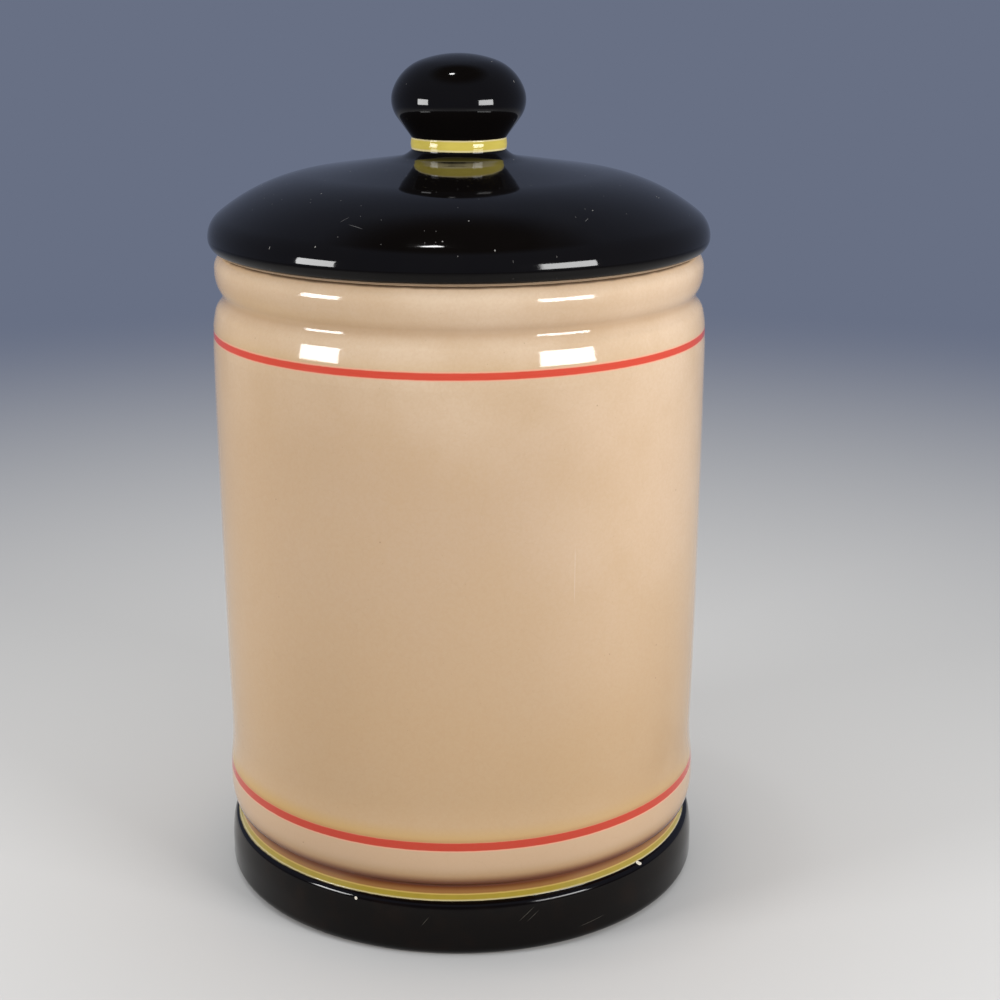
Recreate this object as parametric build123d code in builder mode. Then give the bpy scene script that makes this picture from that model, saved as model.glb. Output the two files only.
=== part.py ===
from build123d import *
from math import acos, atan2, cos, degrees, hypot, radians, sin, tan
import os

# A lidded biscuit jar of slip-cast, glazed earthenware: two castings, both turned about Z.
# Millimetres, +Z up, origin at the centre of the base. Each outline is drawn on XZ and revolved.

# Jar: heights, stacked from the table up
foot_height = 18.7          # black foot, up to the edge of its glaze
ledge_height = 5.4          # sloping ledge between the foot and the lower groove
lower_bead_height = 27.9    # lower groove to the bottom of the panel
panel_height = 136.3        # plain cream panel
line_groove_height = 1.7    # slope from the panel into the fine groove above it
shoulder_height = 12.7      # shoulder bead, up to the neck groove
collar_height = 14.7        # neck groove to the rim

# Jar: radii. The body radius leads, and the others step in or out from their neighbour
body_radius = 82.4          # top of the panel
panel_taper = 1.4           # the panel narrows by this much towards its foot
panel_belly = 0.35          # how far the panel bows out from a straight taper
lower_bead_step = 1.15      # lower bead, out from the bottom of the panel
lower_lip_inset = 1.55      # lip of the lower groove, in from the lower bead
lower_groove_depth = 3.9    # lower groove, in from the lower bead
ledge_step = 1.4            # edge of the foot's glaze, out from the lower groove
foot_bulge = 2.7            # foot, out from the edge of its glaze
line_groove_depth = 0.85    # fine groove, in from the panel
shoulder_inset = 0.45       # shoulder bead, in from the panel
flank_inset = 1.1           # flank of the shoulder bead leans in by this much
neck_groove_depth = 4.35    # corner of the neck groove, in from the shoulder bead
collar_step = 3.4           # collar, out from that corner

# Jar: where each swelling is widest, and its rounds
foot_side_height = 9.0      # top of the foot's upright side
foot_barrel_height = 8.0    # the side then leans in, up to the foot's rounded edge
foot_barrel_inset = 0.9
lower_bead_rise = 8.6       # lower bead, up from its groove
lower_lip_rise = 0.9        # lip of the lower groove, up from the groove
shoulder_drop = 9.5         # shoulder bead, down from the neck groove
flank_height = 5.8          # flank of the shoulder bead
flank_bow = 30.0            # radius of its slight bow
collar_rise = 8.2           # collar, up from the neck groove
base_round = 3.6
lip_round = 1.0
groove_round = 0.8
foot_crease_round = 0.4
panel_edge_round = 1.0
line_groove_round = 0.8
shoulder_round = 6.0
flank_round = 4.0
neck_groove_round = 3.6
rim_outer_round = 5.1
rim_inner_round = 1.6

# Jar: inside and underneath
wall = 6.0
rim_width = 10.0            # widest line of the collar in to the mouth bore
mouth_depth = 20.0          # straight bore of the mouth
throat_height = 18.0        # widening from the mouth to the inside wall
floor_thickness = 6.5
floor_corner = 20.0
base_recess = 4.0           # hollow under the base, inside the resting ring
resting_ring = 9.0          # in from the side of the foot
recess_round = 1.9

# Lid: the dome
lid_overhang = 1.8          # widest line of the lid, out from the collar
lid_under_round = 4.7       # underside of the edge
lid_edge_round = 9.13       # above the widest line
lid_edge_turn = 51.1        # degrees that this round turns through
dome_radius = 62.1
crown_slope = 8.55          # degrees from level, on the cone between dome and neck
cove_reach = 18.5           # radius where the crown begins to turn up into the neck
cove_height = 2.35
lid_wall = 6.0

# Lid: the band round the neck, and the knob
band_radius = 15.5
band_height = 4.0
band_bulge = 0.3
knob_radius = 22.0
knob_rise = 12.0            # band to the widest line of the knob
knob_side_round = 9.6
knob_side_turn = 20.0       # degrees above level where the side eases into the shoulder
knob_shoulder_round = 15.6
knob_crown_turn = 70.9      # degrees above level where the shoulder eases into the crown

# Lid: the locating flange and the hollow inside
flange_clearance = 1.2      # all round, between the flange and the mouth bore
flange_depth = 11.0
flange_wall = 5.0
flange_round = 2.0
seat_round = 0.8            # corner between the flange and the seat
hollow_round = 8.0
neck_bore_radius = 9.5
neck_bore_round = 3.0

# Levels worked out from the heights
ledge_top = foot_height + ledge_height
lower_bead_level = ledge_top + lower_bead_rise
panel_bottom = ledge_top + lower_bead_height
panel_top = panel_bottom + panel_height
shoulder_bottom = panel_top + line_groove_height
neck_level = shoulder_bottom + shoulder_height
rim_level = neck_level + collar_height
mouth_bottom = rim_level - mouth_depth
throat_bottom = mouth_bottom - throat_height
floor_level = base_recess + floor_thickness
flange_bottom = rim_level - flange_depth

# Radii worked out from the steps
panel_bottom_radius = body_radius - panel_taper
lower_bead_radius = panel_bottom_radius + lower_bead_step
lower_groove_radius = lower_bead_radius - lower_groove_depth
ledge_radius = lower_groove_radius + ledge_step
foot_radius = ledge_radius + foot_bulge
ring_inner_radius = foot_radius - resting_ring
line_groove_radius = body_radius - line_groove_depth
shoulder_radius = body_radius - shoulder_inset
neck_radius = shoulder_radius - neck_groove_depth
collar_radius = neck_radius + collar_step
mouth_radius = collar_radius - rim_width
inside_top_radius = body_radius - wall
inside_bottom_radius = panel_bottom_radius - wall
lid_radius = collar_radius + lid_overhang
flange_radius = mouth_radius - flange_clearance
hollow_radius = flange_radius - flange_wall


def on_arc(center, radius, angle):
    # the point of a circle at an angle in degrees, from level outwards
    return (
        center[0] + radius * cos(radians(angle)),
        center[1] + radius * sin(radians(angle)),
    )


def round_corners(section, corners):
    # rounds each named corner of a section to its own radius
    for corner, radius in corners:
        fillet(section.vertices().sort_by_distance(corner)[0], radius)


# The jar: corners and widest points of its section
foot_side_top = (foot_radius, foot_side_height)
foot_barrel_top = (foot_radius - foot_barrel_inset, foot_side_height + foot_barrel_height)
foot_edge = (ledge_radius, foot_height)
lower_groove = (lower_groove_radius, ledge_top)
lower_lip = (lower_bead_radius - lower_lip_inset, ledge_top + lower_lip_rise)
lower_bead = (lower_bead_radius, lower_bead_level)
panel_foot = (panel_bottom_radius, panel_bottom)
panel_head = (body_radius, panel_top)
panel_middle = (
    (panel_bottom_radius + body_radius) / 2 + panel_belly,
    (panel_bottom + panel_top) / 2,
)
line_groove = (line_groove_radius, shoulder_bottom)
shoulder = (shoulder_radius, neck_level - shoulder_drop)
flank_top = (shoulder_radius - flank_inset, neck_level - shoulder_drop + flank_height)
neck_groove = (neck_radius, neck_level)
collar = (collar_radius, neck_level + collar_rise)
rim_outside = (collar_radius, rim_level)
rim_inside = (mouth_radius, rim_level)
mouth_end = (mouth_radius, mouth_bottom)
throat_end = (inside_top_radius, throat_bottom)
floor_edge = (inside_bottom_radius, floor_level)

with BuildPart() as jar:
    with BuildSketch(Plane.XZ) as jar_section:
        with BuildLine():
            # underside and foot
            Polyline(
                (0, base_recess),
                (ring_inner_radius, base_recess),
                (ring_inner_radius, 0),
                (foot_radius, 0),
                foot_side_top,
            )
            barrel = TangentArc(foot_side_top, foot_barrel_top, tangent=(0, 1))
            TangentArc(foot_barrel_top, foot_edge, tangent=barrel % 1)
            Polyline(foot_edge, lower_groove, lower_lip)
            # lower bead: under its widest line, then eased into the panel by two equal arcs
            TangentArc(lower_bead, lower_lip, tangent=(0, -1))
            ease_middle = (
                (lower_bead_radius + panel_bottom_radius) / 2,
                (lower_bead_level + panel_bottom) / 2,
            )
            ease = TangentArc(lower_bead, ease_middle, tangent=(0, 1))
            TangentArc(ease_middle, panel_foot, tangent=ease % 1)
            # panel, fine groove, shoulder bead and neck groove
            ThreePointArc(panel_foot, panel_middle, panel_head)
            Polyline(panel_head, line_groove, shoulder)
            RadiusArc(shoulder, flank_top, -flank_bow)
            Line(flank_top, neck_groove)
            # collar, rim and mouth bore
            TangentArc(collar, neck_groove, tangent=(0, -1))
            Polyline(collar, rim_outside, rim_inside, mouth_end)
            # throat: two equal arcs, then the inside wall down to the floor
            throat_middle = (
                (mouth_radius + inside_top_radius) / 2,
                (mouth_bottom + throat_bottom) / 2,
            )
            throat = TangentArc(mouth_end, throat_middle, tangent=(0, -1))
            TangentArc(throat_middle, throat_end, tangent=throat % 1)
            Polyline(throat_end, floor_edge, (0, floor_level), (0, base_recess))
        make_face()
        round_corners(
            jar_section,
            (
                ((ring_inner_radius, base_recess), recess_round),
                ((ring_inner_radius, 0), recess_round),
                ((foot_radius, 0), base_round),
                (foot_edge, foot_crease_round),
                (lower_groove, groove_round),
                (lower_lip, lip_round),
                (panel_head, panel_edge_round),
                (line_groove, line_groove_round),
                (shoulder, shoulder_round),
                (flank_top, flank_round),
                (neck_groove, neck_groove_round),
                (rim_outside, rim_outer_round),
                (rim_inside, rim_inner_round),
                (floor_edge, floor_corner),
            ),
        )
    revolve(axis=Axis.Z)

jar.part.label = "jar"


# The lid: it sits on the rim, and its flange hangs in the mouth
crown_rise = tan(radians(crown_slope))
crown_normal = 90 - crown_slope
under_center = (lid_radius - lid_under_round, rim_level + lid_under_round)
edge_center = (lid_radius - lid_edge_round, rim_level + lid_under_round)
edge_top = on_arc(edge_center, lid_edge_round, lid_edge_turn)
dome_center = on_arc(edge_top, -dome_radius, lid_edge_turn)
dome_top = on_arc(dome_center, dome_radius, crown_normal)
cove_bottom = (cove_reach, dome_top[1] + (dome_top[0] - cove_reach) * crown_rise)
band_bottom = cove_bottom[1] + cove_height
band_top = band_bottom + band_height

# Knob: the side, the shoulder and the crown turn about a centre each, the crown's on the axis
knob_center = (knob_radius - knob_side_round, band_top + knob_rise)
knob_shoulder_center = on_arc(knob_center, knob_side_round - knob_shoulder_round, knob_side_turn)
knob_crown_center = (
    0,
    knob_shoulder_center[1] - knob_shoulder_center[0] * tan(radians(knob_crown_turn)),
)
knob_crown_radius = (
    knob_shoulder_round + knob_shoulder_center[0] / cos(radians(knob_crown_turn))
)
knob_top = (0, knob_crown_center[1] + knob_crown_radius)

# Knob: the cone above the band is tangent to the side
band_across = band_radius - knob_center[0]
knob_cone_turn = degrees(
    atan2(-knob_rise, band_across) + acos(knob_side_round / hypot(knob_rise, band_across))
)
knob_cone_top = on_arc(knob_center, knob_side_round, knob_cone_turn)

# Hollow: the same centres, one wall further in
hollow_dome_radius = dome_radius - lid_wall
hollow_dome_angle = degrees(acos((hollow_radius - dome_center[0]) / hollow_dome_radius))
hollow_dome_start = on_arc(dome_center, hollow_dome_radius, hollow_dome_angle)
hollow_dome_end = on_arc(dome_center, hollow_dome_radius, crown_normal)
neck_bore_bottom = (
    neck_bore_radius,
    hollow_dome_end[1] + (hollow_dome_end[0] - neck_bore_radius) * crown_rise,
)
neck_bore_top = (neck_bore_radius, band_top)
knob_hollow_bottom = on_arc(knob_center, knob_side_round - lid_wall, knob_cone_turn)

with BuildPart() as lid:
    with BuildSketch(Plane.XZ) as lid_section:
        with BuildLine():
            # hollow of the dome, the flange and the seat
            Polyline(
                hollow_dome_start,
                (hollow_radius, flange_bottom),
                (flange_radius, flange_bottom),
                (flange_radius, rim_level),
                (under_center[0], rim_level),
            )
            # edge, dome and crown, up to the neck
            CenterArc(under_center, lid_under_round, -90, 90)
            CenterArc(edge_center, lid_edge_round, 0, lid_edge_turn)
            CenterArc(dome_center, dome_radius, lid_edge_turn, crown_normal - lid_edge_turn)
            crown = Line(dome_top, cove_bottom)
            TangentArc(cove_bottom, (band_radius, band_bottom), tangent=crown % 1)
            # band and knob
            ThreePointArc(
                (band_radius, band_bottom),
                (band_radius + band_bulge, (band_bottom + band_top) / 2),
                (band_radius, band_top),
            )
            Line((band_radius, band_top), knob_cone_top)
            CenterArc(
                knob_center, knob_side_round, knob_cone_turn, knob_side_turn - knob_cone_turn
            )
            CenterArc(
                knob_shoulder_center,
                knob_shoulder_round,
                knob_side_turn,
                knob_crown_turn - knob_side_turn,
            )
            CenterArc(
                knob_crown_center, knob_crown_radius, knob_crown_turn, 90 - knob_crown_turn
            )
            Line(knob_top, (0, knob_top[1] - lid_wall))
            # hollow of the knob, and the bore that opens it to the hollow of the dome
            CenterArc(
                knob_crown_center,
                knob_crown_radius - lid_wall,
                knob_crown_turn,
                90 - knob_crown_turn,
            )
            CenterArc(
                knob_shoulder_center,
                knob_shoulder_round - lid_wall,
                knob_side_turn,
                knob_crown_turn - knob_side_turn,
            )
            CenterArc(
                knob_center,
                knob_side_round - lid_wall,
                knob_cone_turn,
                knob_side_turn - knob_cone_turn,
            )
            Polyline(knob_hollow_bottom, neck_bore_top, neck_bore_bottom, hollow_dome_end)
            CenterArc(
                dome_center,
                hollow_dome_radius,
                hollow_dome_angle,
                crown_normal - hollow_dome_angle,
            )
        make_face()
        round_corners(
            lid_section,
            (
                (hollow_dome_start, hollow_round),
                ((hollow_radius, flange_bottom), flange_round),
                ((flange_radius, flange_bottom), flange_round),
                ((flange_radius, rim_level), seat_round),
                (neck_bore_bottom, neck_bore_round),
                (neck_bore_top, neck_bore_round),
            ),
        )
    revolve(axis=Axis.Z)

lid.part.label = "lid"


os.makedirs("parts", exist_ok=True)
for piece in (jar, lid):
    export_step(piece.part, f"parts/{piece.part.label}.step")
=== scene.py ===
from math import acos, asin, atan2, ceil, cos, hypot, pi, radians, sin, sqrt, tan

import bmesh
import bpy
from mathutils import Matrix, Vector, noise


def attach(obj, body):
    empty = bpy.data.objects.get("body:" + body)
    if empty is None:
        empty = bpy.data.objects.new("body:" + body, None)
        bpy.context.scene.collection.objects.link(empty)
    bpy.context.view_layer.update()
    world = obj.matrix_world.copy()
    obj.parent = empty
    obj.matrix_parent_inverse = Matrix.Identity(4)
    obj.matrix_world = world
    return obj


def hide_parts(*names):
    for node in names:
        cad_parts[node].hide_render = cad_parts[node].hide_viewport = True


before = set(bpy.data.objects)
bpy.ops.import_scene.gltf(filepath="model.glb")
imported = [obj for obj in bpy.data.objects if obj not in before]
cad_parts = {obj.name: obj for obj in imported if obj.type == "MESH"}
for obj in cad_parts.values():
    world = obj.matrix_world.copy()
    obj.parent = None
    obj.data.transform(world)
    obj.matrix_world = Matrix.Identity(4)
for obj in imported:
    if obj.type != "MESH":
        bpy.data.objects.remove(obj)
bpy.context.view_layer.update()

mm = 0.001

# Camera

cameraSetup = {
    "place": (0.0, -0.6135, 0.3092),
    "lens": 66.6,
    "sensor": 36.0,
    "turn": 1.248,  # degrees towards +X
    "drop": 16.314,  # degrees below level
    "roll": -0.06,
}


def addCamera(setup):
    data = bpy.data.cameras.new("jarCamera")
    data.lens = setup["lens"]
    data.sensor_width = setup["sensor"]
    camera = bpy.data.objects.new("jarCamera", data)
    camera.location = setup["place"]
    camera.rotation_euler = (
        radians(90 - setup["drop"]),
        radians(setup["roll"]),
        radians(-setup["turn"]),
    )
    bpy.context.scene.collection.objects.link(camera)
    bpy.context.scene.camera = camera


addCamera(cameraSetup)
bpy.context.scene.view_settings.view_transform = "Standard"
print("camera placed")


# Node helpers: every pattern below is in millimetres on the piece's own coordinates

def tint(red, green, blue):
    # screen colour, 0 to 255, as the linear colour that a shader takes
    linear = []
    for part in (red, green, blue):
        part = part / 255
        linear.append(part / 12.92 if part < 0.04045 else ((part + 0.055) / 1.055) ** 2.4)
    return (*linear, 1.0)


def put(tree, kind, feeds, **options):
    # adds a node, sets its options, and links or fills its sockets; a socket's id_data is its tree
    node = tree.nodes.new("ShaderNode" + kind)
    for option, choice in options.items():
        setattr(node, option, choice)
    for socket, source in feeds.items():
        if isinstance(source, bpy.types.NodeSocket):
            tree.links.new(source, node.inputs[socket])
        else:
            node.inputs[socket].default_value = source
    return node


def maths(operation, first, second=0.0):
    return put(first.id_data, "Math", {0: first, 1: second}, operation=operation).outputs[0]


def times(first, second):
    return maths("MULTIPLY", first, second)


def plus(first, second):
    return maths("ADD", first, second)


def fade(value, low, high, start=0.0, end=1.0):
    feeds = {"Value": value, "From Min": low, "From Max": high, "To Min": start, "To Max": end}
    return put(value.id_data, "MapRange", feeds, interpolation_type="SMOOTHSTEP").outputs[0]


def between(value, low, high, lowBlur, highBlur):
    # 1 from low to high, with a soft edge at each end
    rise = fade(value, low - lowBlur / 2, low + lowBlur / 2)
    fall = fade(value, high - highBlur / 2, high + highBlur / 2, start=1.0, end=0.0)
    return times(rise, fall)


def cloud(place, size, seed, detail=2.0):
    feeds = {"Vector": place, "Scale": 1 / size, "Detail": detail, "W": seed}
    return put(place.id_data, "TexNoise", feeds, noise_dimensions="4D").outputs[0]


def sway(place, size, seed, amount, detail=2.0):
    # noise that swings to either side of nought
    return times(maths("SUBTRACT", cloud(place, size, seed, detail), 0.5), amount)


def cover(under, over, amount):
    return put(amount.id_data, "Mix", {0: amount, 6: under, 7: over}, data_type="RGBA").outputs[2]


def lay(under, shade, mask, strength=1.0):
    # lays a screen colour over the colours under it
    return cover(under, tint(*shade), times(mask, strength))


def around(turn, reach=1.0, height=0.0):
    # a point by its degrees round from the front, its distance from the axis, and its height
    return (reach * sin(radians(turn)), -reach * cos(radians(turn)), height)


def specks(place, spacing, radius, share, seed, across="3D"):
    # one speck near the middle of a share of the cells; across is 2D where they lie on a level surface
    tree = place.id_data
    moved = put(tree, "VectorMath", {0: place, 1: (seed, 2 * seed, 3 * seed)}, operation="ADD")
    cells = put(tree, "TexVoronoi", {"Vector": moved.outputs[0], "Scale": 1 / spacing},
                voronoi_dimensions=across)
    near = fade(cells.outputs["Distance"], 0.6 * radius / spacing, radius / spacing, start=1.0, end=0.0)
    pick = put(tree, "SeparateColor", {0: cells.outputs["Color"]}).outputs[0]
    return times(near, maths("LESS_THAN", pick, share))


def crazing(place, size, width, seed):
    # the net of hair cracks in an old glaze
    tree = place.id_data
    bend = put(tree, "TexNoise", {"Vector": place, "Scale": 0.6 / size, "Detail": 2.0, "W": seed},
               noise_dimensions="4D").outputs["Color"]
    bend = put(tree, "VectorMath", {0: bend, "Scale": size}, operation="SCALE").outputs[0]
    moved = put(tree, "VectorMath", {0: place, 1: bend}, operation="ADD").outputs[0]
    net = put(tree, "TexVoronoi", {"Vector": moved, "Scale": 1 / size}, feature="DISTANCE_TO_EDGE")
    return fade(net.outputs["Distance"], 0.0, width / size, start=1.0, end=0.0)


def patch(place, centre, turn, reach, ragged, seed):
    # one mark with the given centre, turned about Z, with a half size along each of its axes
    tree = place.id_data
    feeds = {"Vector": place, "Location": centre, "Rotation": (0, 0, radians(turn)), "Scale": reach}
    local = put(tree, "Mapping", feeds, vector_type="TEXTURE").outputs[0]
    away = put(tree, "VectorMath", {0: local}, operation="LENGTH").outputs["Value"]
    if ragged:
        away = plus(away, sway(place, size=1.6, seed=seed, amount=ragged, detail=4.0))
    return fade(away, 0.75, 1.0, start=1.0, end=0.0)


def most(masks):
    total = masks[0]
    for mask in masks[1:]:
        total = maths("MAXIMUM", total, mask)
    return total


def newFinish(name):
    # a material with one glossy shader, and the piece's coordinates in millimetres
    material = bpy.data.materials.new(name)
    material.use_nodes = True
    tree = material.node_tree
    tree.nodes.clear()
    shader = tree.nodes.new("ShaderNodeBsdfPrincipled")
    output = tree.nodes.new("ShaderNodeOutputMaterial")
    tree.links.new(shader.outputs[0], output.inputs["Surface"])
    metres = tree.nodes.new("ShaderNodeTexCoord").outputs["Object"]
    place = put(tree, "VectorMath", {0: metres, "Scale": 1 / mm}, operation="SCALE").outputs[0]
    return material, tree, shader, place


def finishWith(tree, shader, colour, roughness, relief):
    # relief is a height in millimetres
    bump = put(tree, "Bump", {"Strength": 1.0, "Distance": mm, "Height": relief})
    tree.links.new(colour, shader.inputs["Base Color"])
    tree.links.new(roughness, shader.inputs["Roughness"])
    tree.links.new(bump.outputs[0], shader.inputs["Normal"])


# Outline helpers: a pen draws a section on XZ in millimetres, and the section is spun about Z

def startPen(radius, height):
    mesh = bmesh.new()
    tip = mesh.verts.new((radius, 0, height))
    return {"mesh": mesh, "tip": tip, "heading": Vector((0, 0, 1)), "corners": []}


def lineTo(pen, radius, height, parts=1, corner=0.0):
    start = pen["tip"].co.copy()
    end = Vector((radius, 0, height))
    for part in range(1, parts + 1):
        grown = bmesh.ops.extrude_vert_indiv(pen["mesh"], verts=[pen["tip"]])
        pen["tip"] = grown["verts"][0]
        pen["tip"].co = start.lerp(end, part / parts)
    pen["heading"] = (end - start).normalized()
    markCorner(pen, corner)


def turnAbout(pen, centre, angle, step=1.3, corner=0.0):
    # swings the tip about a centre; a positive angle turns left
    middle = Vector((centre[0], 0, centre[1]))
    length = (pen["tip"].co - middle).length * radians(abs(angle))
    steps = max(2, ceil(length / step), ceil(abs(angle) / 9))  # no step over 9 degrees
    axis = (0, -1, 0) if angle > 0 else (0, 1, 0)
    swung = bmesh.ops.spin(
        pen["mesh"], geom=[pen["tip"]], cent=middle, axis=axis, angle=radians(abs(angle)), steps=steps
    )
    pen["tip"] = swung["geom_last"][0]
    arm = (pen["tip"].co - middle).normalized()
    pen["heading"] = Vector((-arm.z, 0, arm.x)) * (1 if angle > 0 else -1)
    markCorner(pen, corner)


def curveTo(pen, radius, height, leaving=None, arriving=None, step=1.3, corner=0.0):
    # an arc to a point, with the heading given at one of its ends
    start = pen["tip"].co.copy()
    chord = Vector((radius, 0, height)) - start
    along = chord.normalized()
    if arriving:
        arrival = Vector((arriving[0], 0, arriving[1])).normalized()
        heading = 2 * arrival.dot(along) * along - arrival
    elif leaving:
        heading = Vector((leaving[0], 0, leaving[1])).normalized()
    else:
        heading = pen["heading"]
    left = Vector((-heading.z, 0, heading.x))
    reach = chord.length_squared / (2 * chord.dot(left))
    middle = start + left * reach
    half = acos(max(-1.0, min(1.0, heading.dot(along))))
    turn = 2 * half * 180 / pi * (1 if reach > 0 else -1)
    turnAbout(pen, (middle.x, middle.z), turn, step, corner)


def markCorner(pen, corner):
    if corner:
        pen["corners"].append((pen["tip"], corner))


def roundCorners(pen, step=0.7):
    for tip, radius in pen["corners"]:
        before, after = (edge.other_vert(tip).co - tip.co for edge in tip.link_edges)
        turn = pi - before.angle(after)
        bmesh.ops.bevel(
            pen["mesh"],
            geom=[tip],
            offset=radius * tan(turn / 2),
            offset_type="OFFSET",
            segments=max(4, ceil(radius * turn / step)),
            profile=0.5,
            affect="VERTICES",
            material=-1,
        )


def spinRound(pen, steps):
    # turns the section into a closed casting
    mesh = pen["mesh"]
    section = mesh.verts[:] + mesh.edges[:]
    bmesh.ops.spin(
        mesh, geom=section, cent=(0, 0, 0), axis=(0, 0, 1), angle=2 * pi, steps=steps, use_merge=True
    )
    bmesh.ops.remove_doubles(mesh, verts=mesh.verts[:], dist=0.002)
    bmesh.ops.recalc_face_normals(mesh, faces=mesh.faces[:])
    return mesh


def unevenCast(mesh, size, seed):
    # a cast pot is never quite round: each point moves a hair towards the axis, never outwards
    shift = Vector((seed, seed, seed))
    for vert in mesh.verts:
        reach = hypot(vert.co.x, vert.co.y)
        if reach > 1:
            level = 0.5 + 0.5 * noise.noise(vert.co / size["unevenSize"] + shift)
            inward = 1 - size["unevenness"] * level * min(reach / size["unevenReach"], 1) / reach
            vert.co.x *= inward
            vert.co.y *= inward


def finishPiece(mesh, name, finishes, zoneOf, size):
    # gives each face the finish of its zone, and puts the piece into the scene in metres
    zones = list(finishes)
    for face in mesh.faces:
        middle = face.calc_center_median()
        face.material_index = zones.index(zoneOf(size, hypot(middle.x, middle.y), middle.z))
        face.smooth = True
    bmesh.ops.scale(mesh, vec=(mm, mm, mm), verts=mesh.verts)
    data = bpy.data.meshes.new(name)
    mesh.to_mesh(data)
    mesh.free()
    piece = bpy.data.objects.new(name, data)
    bpy.context.scene.collection.objects.link(piece)
    for finish in finishes.values():
        data.materials.append(finish)
    return piece


# Jar: one casting, from the middle of its underside up the outside and down the inside

jar = {
    "steps": 288,
    "axisRecess": 4.0,  # hollow under the base
    "ringInner": 73.35,
    "recessRound": 1.9,
    "footRadius": 82.35,
    "baseRound": 3.6,
    "footSide": 9.0,
    "footBarrel": (81.45, 17.0),
    "glazeEdge": (79.65, 18.7),
    "creaseRound": 0.4,
    "ledgeTop": (78.25, 24.1),
    "lowerLip": (80.6, 25.0),
    "grooveRound": 0.8,
    "lipRound": 1.0,
    "lowerBead": (82.15, 32.7),
    "panelFoot": (81.0, 52.0),
    "panelHead": (82.2, 186.8),
    "panelBelly": 0.35,
    "panelEdgeRound": 3.5,
    "lineGroove": (81.95, 190.4),
    "lineGrooveRound": 2.0,
    "shoulder": (81.95, 193.2),
    "shoulderRound": 6.0,
    "flankTop": (80.85, 199.0),
    "flankBow": 30.0,
    "flankRound": 4.0,
    "neckCorner": (77.6, 202.7),  # where the slope would end, under the round of the groove
    "neckRound": 3.6,
    "collar": (81.0, 210.9),
    "collarRound": 11.588,
    "rimLevel": 217.4,
    "rimOuterRound": 5.1,
    "rimInnerRound": 1.6,
    "mouthRadius": 71.0,
    "mouthBottom": 197.4,
    "throatBottom": 179.4,
    "insideTop": 76.4,
    "insideBottom": 75.0,
    "floorLevel": 10.5,
    "floorCorner": 20.0,
    "unevenness": 0.16,
    "unevenSize": 34,  # how wide its waves are
    "unevenReach": 60,  # it fades inside this radius
    "chipDepth": 0.4,
    "chipEdge": 1.15,  # how far a chip reaches, as a share of its half size
    "chipRagged": 0.5,
    "chipGrain": 0.7,
    "chipSteepness": 2.2,
    "standBare": (74, 0.4),  # bare clay outside this radius and under this height
    "seatBare": (72.5, 76.2, 217.35),  # and between these, above this height
    "insideZone": (76.5, 5),  # the inside: within this radius, above this height
    "underZone": 73.6,  # within this radius the underside has the inside's glaze too
    "footZone": 17.6,  # the foot is under this height
}

# chips at the edge of the foot's glaze: degrees round from the front, height, half length, half height
footChips = (
    (-25.2, 17.0, 0.6, 0.55),
    (47.5, 18.5, 0.9, 0.55),
    (129.0, 18.4, 1.5, 0.5),
    (203.0, 18.4, 0.9, 0.45),
)


def drawJar(size):
    pen = startPen(0, size["axisRecess"])
    lineTo(pen, size["ringInner"], size["axisRecess"], parts=24, corner=size["recessRound"])
    lineTo(pen, size["ringInner"], 0, corner=size["recessRound"])
    lineTo(pen, size["footRadius"], 0, corner=size["baseRound"])
    lineTo(pen, size["footRadius"], size["footSide"])
    curveTo(pen, *size["footBarrel"], leaving=(0, 1), step=1.0)
    curveTo(pen, *size["glazeEdge"], step=0.45, corner=size["creaseRound"])
    lineTo(pen, *size["ledgeTop"], parts=6, corner=size["grooveRound"])
    lineTo(pen, *size["lowerLip"], corner=size["lipRound"])
    curveTo(pen, *size["lowerBead"], arriving=(0, 1), step=1.1)
    easeRadius = (size["lowerBead"][0] + size["panelFoot"][0]) / 2
    easeHeight = (size["lowerBead"][1] + size["panelFoot"][1]) / 2
    curveTo(pen, easeRadius, easeHeight, leaving=(0, 1))
    curveTo(pen, *size["panelFoot"])
    drawPanel(pen, size)
    lineTo(pen, *size["lineGroove"], corner=size["lineGrooveRound"])
    lineTo(pen, *size["shoulder"], corner=size["shoulderRound"])
    drawNeck(pen, size)
    lineTo(pen, size["collar"][0], size["rimLevel"], corner=size["rimOuterRound"])
    lineTo(pen, size["mouthRadius"], size["rimLevel"], corner=size["rimInnerRound"])
    lineTo(pen, size["mouthRadius"], size["mouthBottom"], parts=10)
    throatRadius = (size["mouthRadius"] + size["insideTop"]) / 2
    throatHeight = (size["mouthBottom"] + size["throatBottom"]) / 2
    curveTo(pen, throatRadius, throatHeight, leaving=(0, -1), step=1.5)
    curveTo(pen, size["insideTop"], size["throatBottom"], step=1.5)
    lineTo(pen, size["insideBottom"], size["floorLevel"], corner=size["floorCorner"])
    lineTo(pen, 0, size["floorLevel"])
    roundCorners(pen)
    return pen


def drawPanel(pen, size):
    # the panel bows out a little from a straight taper
    width = size["panelHead"][0] - size["panelFoot"][0]
    height = size["panelHead"][1] - size["panelFoot"][1]
    chord = hypot(width, height)
    lean = Vector((width, height)) / chord
    bow = 4 * size["panelBelly"] * lean.y / chord  # tangent of half the turn, nearly
    heading = (lean.x + bow * lean.y, lean.y - bow * lean.x)
    curveTo(pen, *size["panelHead"], leaving=heading, step=3.2, corner=size["panelEdgeRound"])


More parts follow.
